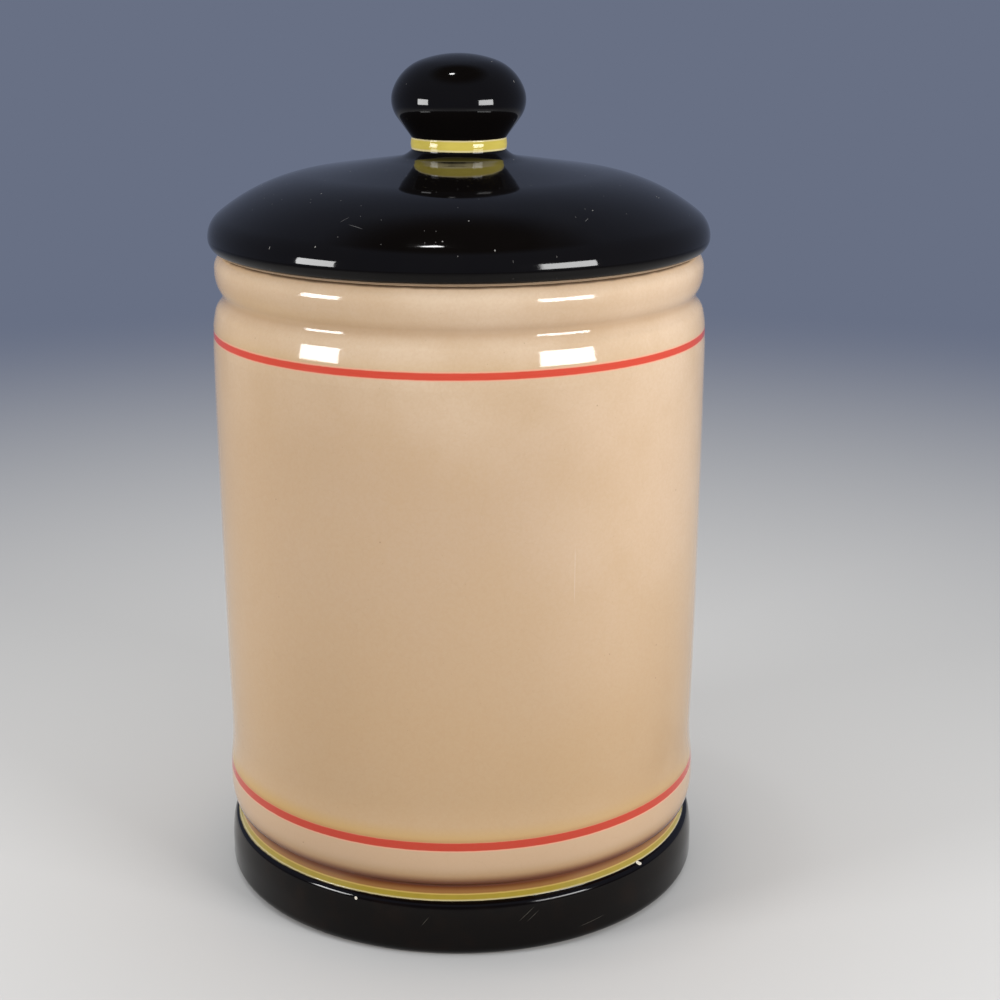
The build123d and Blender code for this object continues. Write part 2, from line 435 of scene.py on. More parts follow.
def drawNeck(pen, size):
    # the flank bows up to a slope; the round of the groove touches the slope and the bulge of the collar
    shoulder, flankTop, corner = (Vector(size[name]) for name in ("shoulder", "flankTop", "neckCorner"))
    chord = flankTop - shoulder
    left = Vector((-chord.y, chord.x)).normalized()
    bowCentre = (shoulder + flankTop) / 2 + left * sqrt(size["flankBow"] ** 2 - (chord.length / 2) ** 2)
    bowTurn = 2 * asin(chord.length / 2 / size["flankBow"]) * 180 / pi
    turnAbout(pen, bowCentre, bowTurn, step=1.2, corner=size["flankRound"])
    slope = (corner - flankTop).normalized()
    outward = Vector((slope.y, -slope.x))
    collarCentre = Vector((size["collar"][0] - size["collarRound"], size["collar"][1]))
    start = flankTop + outward * size["neckRound"] - collarCentre
    apart = size["collarRound"] + size["neckRound"]
    along = -start.dot(slope) - sqrt(start.dot(slope) ** 2 - start.length_squared + apart**2)
    grooveCentre = collarCentre + start + slope * along
    touch = grooveCentre - outward * size["neckRound"]
    meeting = grooveCentre - collarCentre
    collarTurn = atan2(-meeting.y, meeting.x) * 180 / pi
    slopeTurn = atan2(-slope.x, slope.y) * 180 / pi
    lineTo(pen, *touch)
    turnAbout(pen, grooveCentre, -collarTurn - slopeTurn, step=0.7)
    turnAbout(pen, collarCentre, collarTurn, step=1.1)


def chipFoot(mesh, chips, size):
    # dents the glaze edge where it is chipped
    radius = size["glazeEdge"][0]
    for turn, height, halfLength, halfHeight in chips:
        middle = Vector(around(turn)) * radius
        for vert in mesh.verts:
            reach = hypot(vert.co.x, vert.co.y)
            if reach < radius - 2 or abs(vert.co.z - height) > 2 * halfHeight:
                continue  # not near the edge
            along = (Vector((vert.co.x, vert.co.y, 0)) - middle).length / halfLength
            away = hypot(along, (vert.co.z - height) / halfHeight)
            away += size["chipRagged"] * noise.noise(vert.co * size["chipGrain"])
            if away < size["chipEdge"]:
                depth = min(1.0, size["chipSteepness"] * (size["chipEdge"] - away))
                inward = 1 - size["chipDepth"] * depth / reach
                vert.co.x *= inward
                vert.co.y *= inward


def jarZone(size, radius, height):
    standRadius, standLevel = size["standBare"]
    seatInner, seatOuter, seatLevel = size["seatBare"]
    insideRadius, insideLevel = size["insideZone"]
    if height < standLevel and radius > standRadius:
        return "bare"  # where the jar stands
    if height > seatLevel and seatInner < radius < seatOuter:
        return "bare"  # where the lid sits
    if radius < insideRadius and height > insideLevel or radius < size["underZone"]:
        return "inside"  # plain glaze inside and under the base
    return "foot" if height < size["footZone"] else "outside"


jarPaint = {
    "cream": (199, 173, 144),
    "creamHigh": (220, 198, 172),
    "creamLow": (197, 167, 129),
    # paler cream: painted light on the right side outside, and a plain tone inside
    "creamPale": (220, 195, 168),
    "creamFoot": (206, 177, 150),
    "creamCloud": (198, 170, 136),
    # painted shade low on the right side
    "creamPaintedShade": (180, 149, 111),
    "creamShade": (172, 141, 108),
    "creamWarm": (186, 142, 98),
    "yellow": (198, 162, 100),
    "red": (217, 86, 68),
    "redDeep": (203, 70, 50),
    "redLow": (186, 58, 36),
    "redFringe": (238, 172, 144),
    "redShade": (172, 106, 70),
    # the groove brown and the ledge tan are painted shade under the lower bead; the brown is partly
    # pooled glaze
    "grooveBrown": (104, 48, 14),
    "tan": (150, 106, 58),
    "thinYellow": (192, 163, 86),
    "olive": (168, 149, 54),
    "oliveDeep": (152, 132, 46),
    "paleEdge": (196, 184, 138),
    "black": (7, 4, 3),
    # painted shade on the rim under the lid, and a dark clouded tone on the black foot
    "shadeAndGrime": (62, 40, 24),
    "chip": (226, 220, 206),
    "speck": (120, 88, 60),
    "upperLine": (190.1, 192.3),
    "lowerLine": (37.55, 40.2),
    "lean": -0.0035,  # the lines sit a little lower on the left
    "blackEdge": 18.84,
    "blackBlur": 0.12,
    # blends: from and to, in millimetres up or across, and the strength at each end if not 0 and 1
    "creamRise": (35, 150),
    "highRise": (150, 208),
    # painted light on the right side, then painted shade low on the right
    "paintedLightAcross": (0, 60, 0.0, 0.5),
    "paintedLightRise": (60, 140),
    "paintedShadeAcross": (30, 82, 0.0, 0.7),
    "paintedShadeRise": (40, 150, 1.0, 0.0),
    "lowAcross": (-90, 0, 0.45, 0.0),
    # painted shade on the rim under the lid
    "rimShadeRise": (216.4, 216.95),
    "rimShadeStrength": 0.8,
    "grainStrength": 0.11,
    # painted shade in the neck groove and under the collar, and pooled glaze with painted shade under
    # the lower bead: colour, bottom, top, soft edge below and above, strength
    "poolsAndShade": (
        ("creamShade", 202.0, 205.0, 5.0, 7.0, 0.75),
        ("creamShade", 207.0, 211.0, 4.0, 6.0, 0.24),
        ("creamWarm", 20.0, 28.2, 2.0, 5.5, 0.8),
    ),
    # bands from the lower groove down over the ledge, each over the one before; the brown and the tan
    # are painted shade under the lower bead, the brown partly pooled glaze
    "ledge": (
        ("grooveBrown", 20.0, 27.0, 1.0, 3.6),
        ("tan", 10.0, 22.6, 1.0, 2.2),
        ("thinYellow", 20.0, 21.15, 0.5, 0.35),
        ("olive", 10.0, 20.7, 1.0, 0.3),
        ("paleEdge", 10.0, 19.2, 1.0, 0.5),
    ),
    "footCream": 30.0,  # up from here to the lower line the cream is plain
    "footCreamStrength": 0.55,
    # sprayed yellow: a blend across, its top above the lower line, and traces higher up
    "sprayAcross": (-80, 70, 1.0, 0.4),
    "sprayTop": 43.4,
    "traceTop": 194.0,
    "traceStrength": 0.4,
    "collarTrace": (204.0, 208.0, 4.0, 7.0),
    "collarAcross": (-70, 10, 0.4, 0.0),
    # strengths of the fringes and marks
    "lineShade": 0.6,
    "fringe": 0.7,
    "lowerLineDark": 0.75,
    "fineSpecks": 0.5,
    "speckStrength": 0.35,
    "crackStrength": 0.035,
    "scratchStrength": 0.25,
    "scuffStrength": 0.14,
    "dustStrength": 0.12,
    "panelScratch": (25.3, 127.0, 0.16, 10.0),  # degrees round, height, half width, half length
    "chipCentre": 80.0,  # how far from the axis a chip, a scuff or a scratch is centred
    "scuffCentre": 82.0,
    "markDepth": 6.0,
    "chipRagged": 0.9,
    # roughness, and relief in millimetres
    "roughness": (0.06, 0.13),
    "footRoughness": (0.1, 0.2),
    "chipRough": 0.6,
    "lineRough": 0.04,
    "scuffRough": 0.5,
    "waves": 0.05,
    "peel": 0.012,
    "pitDepth": 0.02,
    "crackDepth": 0.002,
    "lineRelief": 0.02,
    "chipRelief": 0.3,
    "ior": 1.45,
    "insideIor": 1.52,
    "footGloss": 0.18,
}


def crossing(place, lean):
    # the height that the bands are painted to, which wanders a little round the jar
    axes = put(place.id_data, "SeparateXYZ", {0: place}).outputs
    slow = sway(place, size=55, seed=1.0, amount=0.4)
    quick = sway(place, size=2.4, seed=2.0, amount=0.16, detail=3.0)
    leaning = plus(axes[2], times(axes[0], lean))
    return axes, plus(leaning, plus(slow, quick))


def footMarks(place, chips, paint):
    # the pale spots where the foot's glaze is chipped
    marks = []
    for number, (turn, level, halfLength, halfHeight) in enumerate(chips):
        centre = around(turn, paint["chipCentre"], level)
        reach = (halfLength, paint["markDepth"], halfHeight)
        marks.append(patch(place, centre, turn, reach, ragged=paint["chipRagged"], seed=20.0 + number))
    return most(marks)


def chippedRelief(place, chipped, paint):
    return times(chipped, sway(place, size=0.8, seed=13.0, amount=paint["chipRelief"], detail=3.0))


def creamGround(place, axes, paint):
    # cream that is paler near the top, and warmer low down and on one side, with painted light that
    # makes the right side paler and painted shade that darkens it low down
    rise = plus(axes[2], sway(place, size=45, seed=15.0, amount=40))
    colour = lay(tint(*paint["creamLow"]), paint["cream"], fade(rise, *paint["creamRise"]))
    colour = lay(colour, paint["creamHigh"], fade(rise, *paint["highRise"]))
    # painted light: the right side paler higher up
    paintedLight = times(fade(axes[0], *paint["paintedLightAcross"]), fade(rise, *paint["paintedLightRise"]))
    colour = lay(colour, paint["creamPale"], paintedLight)
    # painted shade: the right side darker lower down
    paintedShade = times(fade(axes[0], *paint["paintedShadeAcross"]), fade(rise, *paint["paintedShadeRise"]))
    colour = lay(colour, paint["creamPaintedShade"], paintedShade)
    colour = lay(colour, paint["creamLow"], fade(axes[0], *paint["lowAcross"]))
    clouded = fade(cloud(place, size=26, seed=3.0, detail=4.0), 0.35, 0.7, end=0.5)
    colour = lay(colour, paint["creamCloud"], clouded)
    grain = fade(cloud(place, size=0.9, seed=4.0, detail=3.0), 0.3, 0.7)
    return lay(colour, paint["creamWarm"], grain, paint["grainStrength"])


def sprayYellow(place, axes, height, colour, paint):
    # above the lower line, heavier on one side, with traces by the upper line and on the collar
    across = plus(axes[0], sway(place, size=40, seed=5.0, amount=60))
    side = fade(across, *paint["sprayAcross"])
    low = between(height, paint["lowerLine"][1], paint["sprayTop"], lowBlur=0.4, highBlur=6.0)
    colour = lay(colour, paint["yellow"], times(low, side))
    high = between(height, paint["upperLine"][1], paint["traceTop"], lowBlur=0.4, highBlur=8.0)
    high = times(high, times(side, paint["traceStrength"]))
    colour = lay(colour, paint["yellow"], high)
    collar = between(height, *paint["collarTrace"])
    collar = times(collar, fade(axes[0], *paint["collarAcross"]))
    return lay(colour, paint["yellow"], collar)


def bandLines(place, height, colour, paint):
    # the two banded lines, each with a paler fringe
    upperBottom, upperTop = paint["upperLine"]
    lowerBottom, lowerTop = paint["lowerLine"]
    upper = between(height, upperBottom, upperTop, lowBlur=0.45, highBlur=0.45)
    lower = between(height, lowerBottom, lowerTop, lowBlur=0.4, highBlur=0.4)
    lines = most([upper, lower])
    shade = between(height, lowerBottom, lowerTop + 0.5, lowBlur=0.4, highBlur=2.6)
    colour = lay(colour, paint["redShade"], shade, paint["lineShade"])
    highFringe = between(height, upperBottom - 0.35, upperTop + 0.45, lowBlur=0.5, highBlur=0.6)
    lowFringe = between(height, lowerBottom - 0.4, lowerTop, lowBlur=0.5, highBlur=0.4)
    colour = lay(colour, paint["redFringe"], most([highFringe, lowFringe]), paint["fringe"])
    streak = put(place.id_data, "Mapping", {"Vector": place, "Scale": (0.12, 0.12, 3.0)}).outputs[0]
    red = lay(tint(*paint["red"]), paint["redDeep"], cloud(streak, size=1.0, seed=7.0, detail=3.0))
    red = lay(red, paint["redLow"], lower, paint["lowerLineDark"])
    return cover(colour, red, lines), lines


def makeJarGlaze(paint):
    material, tree, shader, place = newFinish("creamGlaze")
    axes, height = crossing(place, paint["lean"])
    colour = creamGround(place, axes, paint)

    # painted shade at the neck and the collar, pooled glaze with painted shade under the lower bead,
    # plain under the lower line, and sprayed above it
    for name, *poolAndShade, strength in paint["poolsAndShade"]:
        colour = lay(colour, paint[name], between(height, *poolAndShade), strength)
    plain = between(height, paint["footCream"], paint["lowerLine"][0], lowBlur=4.0, highBlur=0.6)
    colour = lay(colour, paint["creamFoot"], plain, paint["footCreamStrength"])
    colour = sprayYellow(place, axes, height, colour, paint)

    # lower groove and ledge: brown and tan as painted shade under the bead, the brown partly pooled
    # glaze, then a thin yellow line, olive, and the pale edge
    olive = lay(tint(*paint["olive"]), paint["oliveDeep"], cloud(place, size=3, seed=6.0))
    for name, *band in paint["ledge"]:
        shade = olive if name == "olive" else tint(*paint[name])
        colour = cover(colour, shade, between(height, *band))
    colour, lines = bandLines(place, height, colour, paint)

    # specks and hair cracks
    dark = specks(place, spacing=5.5, radius=0.34, share=0.10, seed=3.0)
    fine = specks(place, spacing=2.3, radius=0.22, share=0.12, seed=8.0)
    spots = plus(dark, times(fine, paint["fineSpecks"]))
    cracks = crazing(place, size=5.5, width=0.12, seed=9.0)
    marks = most([times(spots, paint["speckStrength"]), times(cracks, paint["crackStrength"])])
    colour = lay(colour, paint["speck"], marks)

    # painted shade: a dark line where the rim turns in under the lid
    level = plus(axes[2], sway(place, size=7, seed=14.0, amount=0.5))
    shadeAndGrime = fade(level, *paint["rimShadeRise"])
    colour = lay(colour, paint["shadeAndGrime"], shadeAndGrime, paint["rimShadeStrength"])

    # black foot with its chips, and a hair scratch on the panel
    edge, blur = paint["blackEdge"], paint["blackBlur"]
    colour = lay(colour, paint["black"], fade(height, edge - blur, edge + blur, start=1.0, end=0.0))
    chipped = footMarks(place, footChips, paint)
    colour = lay(colour, paint["chip"], chipped)
    turn, level, halfWidth, halfLength = paint["panelScratch"]
    centre = around(turn, paint["scuffCentre"], level)
    reach = (halfWidth, paint["markDepth"], halfLength)
    scratch = patch(place, centre, turn, reach, ragged=0.3, seed=30.0)
    colour = lay(colour, paint["chip"], scratch, paint["scratchStrength"])

    # gloss: clean glaze with duller patches
    rough = fade(cloud(place, size=18, seed=10.0, detail=4.0), 0.45, 0.75, *paint["roughness"])
    rough = plus(rough, times(chipped, paint["chipRough"]))
    rough = plus(rough, times(lines, paint["lineRough"]))

    # relief: slow waves, orange peel, pits, cracks, lines and chips
    relief = sway(place, size=24, seed=11.0, amount=paint["waves"])
    relief = plus(relief, sway(place, size=4.0, seed=12.0, amount=paint["peel"]))
    relief = plus(relief, times(spots, -paint["pitDepth"]))
    relief = plus(relief, times(cracks, -paint["crackDepth"]))
    relief = plus(relief, times(lines, paint["lineRelief"]))
    relief = plus(relief, chippedRelief(place, chipped, paint))
    finishWith(tree, shader, colour, rough, relief)
    shader.inputs["IOR"].default_value = paint["ior"]
    return material


# faint scuffs on the foot: degrees round from the front, height, slant, half length, half width
footScuffs = (
    (-8.5, 12.5, 52.0, 2.2, 0.14),
    (14.5, 13.8, 38.0, 4.0, 0.13),
    (16.0, 12.9, 38.0, 3.0, 0.11),
    (31.0, 6.2, 8.0, 6.0, 0.12),
    (150.0, 9.0, 25.0, 5.0, 0.13),
)


def scuffMarks(place, scuffs, paint):
    tree = place.id_data
    marks = []
    for turn, level, slant, halfLength, halfWidth in scuffs:
        feeds = {
            "Vector": place,
            "Location": around(turn, paint["scuffCentre"], level),
            "Rotation": (0, -radians(slant), radians(turn)),
            "Scale": (halfLength, paint["markDepth"], halfWidth),
        }
        local = put(tree, "Mapping", feeds, vector_type="TEXTURE").outputs[0]
        away = put(tree, "VectorMath", {0: local}, operation="LENGTH").outputs["Value"]
        marks.append(fade(away, 0.5, 1.0, start=1.0, end=0.0))
    return times(most(marks), cloud(place, size=1.1, seed=33.0, detail=4.0))


def makeFootGlaze(paint):
    material, tree, shader, place = newFinish("footGlaze")
    clouded = fade(cloud(place, size=12, seed=31.0, detail=4.0), 0.5, 0.8, end=0.12)
    colour = lay(tint(*paint["black"]), paint["shadeAndGrime"], clouded)
    scuffed = scuffMarks(place, footScuffs, paint)
    colour = lay(colour, paint["chip"], scuffed, paint["scuffStrength"])
    chipped = footMarks(place, footChips, paint)
    colour = lay(colour, paint["chip"], chipped)
    dust = specks(place, spacing=4.0, radius=0.2, share=0.14, seed=34.0)
    colour = lay(colour, paint["chip"], dust, paint["dustStrength"])
    rough = fade(cloud(place, size=14, seed=35.0, detail=5.0), 0.45, 0.75, *paint["footRoughness"])
    rough = plus(rough, times(most([chipped, scuffed]), paint["scuffRough"]))
    relief = sway(place, size=22, seed=36.0, amount=paint["waves"])
    relief = plus(relief, chippedRelief(place, chipped, paint))
    finishWith(tree, shader, colour, rough, relief)
    shader.inputs["IOR"].default_value = paint["ior"]
    shader.inputs["Specular IOR Level"].default_value = paint["footGloss"]
    return material


def makeInsideGlaze(paint):
    material, tree, shader, place = newFinish("insideGlaze")
    axes = put(tree, "SeparateXYZ", {0: place}).outputs
    clouded = cloud(place, size=30, seed=41.0, detail=4.0)
    colour = lay(tint(*paint["creamHigh"]), paint["creamPale"], clouded)
    pooled = between(axes[2], 2.0, 12.0, lowBlur=3.0, highBlur=16.0)  # over the floor
    colour = lay(colour, paint["creamWarm"], pooled, 0.25)
    dark = specks(place, spacing=6.5, radius=0.4, share=0.15, seed=42.0)
    cracks = crazing(place, size=11.0, width=0.16, seed=43.0)
    colour = lay(colour, paint["speck"], most([times(dark, 0.5), times(cracks, 0.12)]))
    rough = fade(cloud(place, size=20, seed=44.0, detail=4.0), 0.4, 0.75, start=0.08, end=0.18)
    relief = sway(place, size=22, seed=45.0, amount=0.08)
    relief = plus(relief, sway(place, size=4.5, seed=46.0, amount=0.015))
    finishWith(tree, shader, colour, rough, relief)
    shader.inputs["IOR"].default_value = paint["insideIor"]
    return material


clayPaint = {
    "clay": (222, 208, 184),
    "clayDeep": (196, 176, 146),
    "stain": (150, 124, 92),
}


def makeBareClay(paint):
    material, tree, shader, place = newFinish("bareClay")
    colour = lay(tint(*paint["clay"]), paint["clayDeep"], cloud(place, size=9, seed=51.0, detail=5.0))
    stained = fade(cloud(place, size=5, seed=52.0, detail=5.0), 0.52, 0.72, end=0.5)
    colour = lay(colour, paint["stain"], stained)
    grit = specks(place, spacing=1.6, radius=0.25, share=0.25, seed=53.0)
    colour = lay(colour, paint["stain"], grit, 0.5)
    rough = fade(cloud(place, size=3, seed=54.0, detail=4.0), 0.3, 0.7, start=0.72, end=0.9)
    relief = sway(place, size=0.7, seed=55.0, amount=0.05, detail=4.0)
    finishWith(tree, shader, colour, rough, relief)
    return material


creamGlaze = makeJarGlaze(jarPaint)
insideGlaze = makeInsideGlaze(jarPaint)
bareClay = makeBareClay(clayPaint)
footGlaze = makeFootGlaze(jarPaint)

jarMesh = spinRound(drawJar(jar), jar["steps"])
unevenCast(jarMesh, jar, seed=3.0)
chipFoot(jarMesh, footChips, jar)
jarFinishes = {"outside": creamGlaze, "inside": insideGlaze, "bare": bareClay, "foot": footGlaze}
jarPiece = finishPiece(jarMesh, "jarCasting", jarFinishes, jarZone, jar)
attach(jarPiece, "jar")
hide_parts("jar")
print("jar made:", len(jarPiece.data.polygons), "faces")


# Lid: one hollow casting, from the top of the knob's hollow out to the edge and back over the top

lid = {
    "steps": 288,
    "rimLevel": 217.4,
    "edgeRadius": 82.8,
    "underRound": 4.7,
    "edgeRound": 9.13,
    "edgeTurn": 51.1,
    "domeRadius": 62.1,
    "crownSlope": 8.55,
    "coveReach": 18.5,
    "coveHeight": 2.35,
    "coveStart": 24.0,
    "coveStages": ((19.3, 13.6), (17.7, 29.0)),  # how far out, and how steep there in degrees
    "wall": 6.0,
    "bandRadius": 15.5,
    "bandHeight": 4.0,
    "bandBulge": 0.3,
    "knobRadius": 22.0,
    "knobRise": 12.0,
    "knobSideRound": 9.6,
    "knobSideTurn": 20.0,
    "knobShoulderRound": 15.6,
    "knobCrownTurn": 70.9,
    "flangeRadius": 69.8,
    "flangeDepth": 11.0,
    "flangeWall": 5.0,
    "flangeRound": 2.0,
    "seatRound": 0.8,
    "hollowRound": 8.0,
    "boreRadius": 9.5,
    "boreRound": 3.0,
    "unevenness": 0.12,
    "unevenSize": 30,
    "unevenReach": 60,
    "seatInner": 70.4,  # the zones: the seat and the edge are outside this radius
    "bareTop": 217.95,  # bare clay under this height there
    "underEdgeTop": 222.0,  # and the underside of the edge under this one
    "flangeBare": (64, 207.0),  # bare clay outside this radius and under this height
    "knobMiddle": (12, 268.0),  # halfway through the wall, within this radius
    "domeMiddle": 244.0,  # and further out, where it falls with the dome
    "domeFall": 10,
    "domeDrop": (70, 5.5),
}


def onArc(centre, radius, angle):
    return (centre[0] + radius * cos(radians(angle)), centre[1] + radius * sin(radians(angle)))


def drawLid(size):
    slope = tan(radians(size["crownSlope"]))
    crownNormal = 90 - size["crownSlope"]
    underCentre = (size["edgeRadius"] - size["underRound"], size["rimLevel"] + size["underRound"])
    edgeCentre = (size["edgeRadius"] - size["edgeRound"], underCentre[1])
    edgeTop = onArc(edgeCentre, size["edgeRound"], size["edgeTurn"])
    domeCentre = onArc(edgeTop, -size["domeRadius"], size["edgeTurn"])
    domeTop = onArc(domeCentre, size["domeRadius"], crownNormal)
    coveBottom = domeTop[1] + (domeTop[0] - size["coveReach"]) * slope
    bandBottom = coveBottom + size["coveHeight"]
    bandTop = bandBottom + size["bandHeight"]
    knobCentre = (size["knobRadius"] - size["knobSideRound"], bandTop + size["knobRise"])
    sideTurn = size["knobSideTurn"]
    crownTurn = size["knobCrownTurn"]
    topCentre = onArc(knobCentre, size["knobSideRound"] - size["knobShoulderRound"], sideTurn)
    crownCentre = (0, topCentre[1] - topCentre[0] * tan(radians(crownTurn)))
    crownRadius = size["knobShoulderRound"] + topCentre[0] / cos(radians(crownTurn))
    across = size["bandRadius"] - knobCentre[0]
    coneTurn = atan2(-size["knobRise"], across)
    coneTurn += acos(size["knobSideRound"] / hypot(size["knobRise"], across))
    coneTurn *= 180 / pi
    coneTop = onArc(knobCentre, size["knobSideRound"], coneTurn)

    # hollow of the knob, its bore, and the hollow of the dome
    wall = size["wall"]
    pen = startPen(0, crownCentre[1] + crownRadius - wall)
    turnAbout(pen, crownCentre, crownTurn - 90, step=1.5)
    turnAbout(pen, topCentre, sideTurn - crownTurn, step=1.2)
    turnAbout(pen, knobCentre, coneTurn - sideTurn, step=1.0)
    lineTo(pen, size["boreRadius"], bandTop, corner=size["boreRound"])
    hollowRadius = size["flangeRadius"] - size["flangeWall"]
    hollowDome = size["domeRadius"] - wall
    domeEnd = onArc(domeCentre, hollowDome, crownNormal)
    boreBottom = domeEnd[1] + (domeEnd[0] - size["boreRadius"]) * slope
    lineTo(pen, size["boreRadius"], boreBottom, corner=size["boreRound"])
    lineTo(pen, *domeEnd, parts=8)
    startAngle = acos((hollowRadius - domeCentre[0]) / hollowDome) * 180 / pi
    turnAbout(pen, domeCentre, startAngle - crownNormal, step=1.5, corner=size["hollowRound"])

    # locating flange, seat and edge
    flangeBottom = size["rimLevel"] - size["flangeDepth"]
    lineTo(pen, hollowRadius, flangeBottom, corner=size["flangeRound"])
    lineTo(pen, size["flangeRadius"], flangeBottom, corner=size["flangeRound"])
    lineTo(pen, size["flangeRadius"], size["rimLevel"], corner=size["seatRound"])
    lineTo(pen, underCentre[0], size["rimLevel"], parts=4)
    turnAbout(pen, underCentre, 90, step=0.7)
    turnAbout(pen, edgeCentre, size["edgeTurn"], step=0.9)

    # dome, crown, neck, band and knob
    turnAbout(pen, domeCentre, crownNormal - size["edgeTurn"])
    coveLevel = coveBottom + (size["coveReach"] - size["coveStart"]) * slope
    lineTo(pen, size["coveStart"], coveLevel, parts=20)
    drawCove(pen, size)
    curveTo(pen, size["bandRadius"], bandBottom, step=0.5)
    curveTo(pen, size["bandRadius"], bandTop, leaving=(4 * size["bandBulge"] / size["bandHeight"], 1),
            step=0.5)
    lineTo(pen, *coneTop, parts=6)
    turnAbout(pen, knobCentre, sideTurn - coneTurn, step=0.8)
    turnAbout(pen, topCentre, crownTurn - sideTurn, step=0.8)
    turnAbout(pen, crownCentre, 90 - crownTurn, step=0.8)
    roundCorners(pen)
    return pen


def drawCove(pen, size):
    # the crown steepens towards the neck in stages
    steep = radians(size["crownSlope"])
    for reach, degrees in size["coveStages"]:
        steeper = radians(degrees)
        bend = (pen["tip"].co.x - reach) / (sin(steeper) - sin(steep))
        centre = (pen["tip"].co.x + bend * sin(steep), pen["tip"].co.z + bend * cos(steep))
        turnAbout(pen, centre, (steep - steeper) * 180 / pi, step=0.5)
        steep = steeper


def outsideLevel(size, radius):
    # halfway through the lid's wall
    neckRadius, neckLevel = size["knobMiddle"]
    if radius <= neckRadius:
        return neckLevel
    dropRadius, drop = size["domeDrop"]
    return size["domeMiddle"] - radius / size["domeFall"] - (radius / dropRadius) ** 4 * drop


def lidZone(size, radius, height):
    flangeRadius, flangeLevel = size["flangeBare"]
    onEdge = radius > size["seatInner"]
    if onEdge and height < size["bareTop"]:
        return "bare"  # where the lid sits, and a hair of it up its edge, part of the pale line painted as a reflection
    if height < flangeLevel and radius > flangeRadius:
        return "bare"  # under the flange
    if onEdge and height < size["underEdgeTop"]:
        return "underEdge"
    return "outside" if onEdge or height > outsideLevel(size, radius) else "inside"


lidPaint = {
    "black": (8, 6, 6),
    "blackSoft": (13, 11, 10),
    "band": (213, 196, 96),
    "bandDeep": (197, 178, 76),
    "bandEdge": (218, 204, 154),
    "dust": (190, 188, 184),
    "scratch": (150, 148, 148),
    # painted reflection of the cream collar along the lower edge, in the colour of bare clay
    "clayReflection": (168, 150, 130),
    "clayLevel": 218.5,
    "clayBlur": 0.1,
    "clayInner": (71.0, 72.0),  # the painted reflection starts outside these
    "bandLevels": (249.7, 253.4),
    "bandInset": (0.55, 0.4),  # how much of the pale ground shows below and above the colour
    "finerDust": 0.6,
    "dustUpward": (0.1, 0.7, 0.1, 0.6),  # thin on upright faces, and thicker on level ones
    "dustStrength": 0.9,
    "scratchStrength": 0.28,
    "scratchCentre": 235.0,  # height of a scratch's middle, and how far it reaches up and down
    "scratchReach": 60.0,
    "scratchRagged": 0.5,
    # roughness, and relief in millimetres
    "roughness": (0.045, 0.13),
    "markRough": 0.5,
    "clayRough": 0.7,
    "waves": 0.05,
    "peel": 0.012,
    "scratchDepth": 0.02,
    "ior": 1.45,
    "gloss": 0.34,
    "edgeGloss": 0.18,
}

# hair scratches on the dome: centre across and away, turn, half length, half width
lidScratches = (
    (-30.5, -67.0, -38.0, 3.0, 0.10),
    (-34.0, -62.5, 24.0, 1.6, 0.10),
    (38.0, -61.0, 62.0, 1.3, 0.12),
    (2.0, 52.0, 12.0, 5.0, 0.09),
    (-58.0, 18.0, 70.0, 4.0, 0.09),
    (49.0, 30.0, -28.0, 3.4, 0.09),
)


def dustAndScratches(place, paint):
    tree = place.id_data
    upward = put(tree, "SeparateXYZ", {0: put(tree, "NewGeometry", {}).outputs["Normal"]}).outputs[2]
    coarse = specks(place, spacing=7.5, radius=0.24, share=0.10, seed=65.0, across="2D")
    fine = specks(place, spacing=3.2, radius=0.15, share=0.07, seed=71.0, across="2D")
    dust = plus(coarse, times(fine, paint["finerDust"]))
    dust = times(dust, fade(upward, *paint["dustUpward"]))
    scratches = []
    for number, (across, away, turn, halfLength, halfWidth) in enumerate(lidScratches):
        centre = (across, away, paint["scratchCentre"])
        reach = (halfLength, halfWidth, paint["scratchReach"])
        ragged = paint["scratchRagged"]
        scratches.append(patch(place, centre, turn, reach, ragged, seed=80.0 + number))
    return dust, most(scratches)


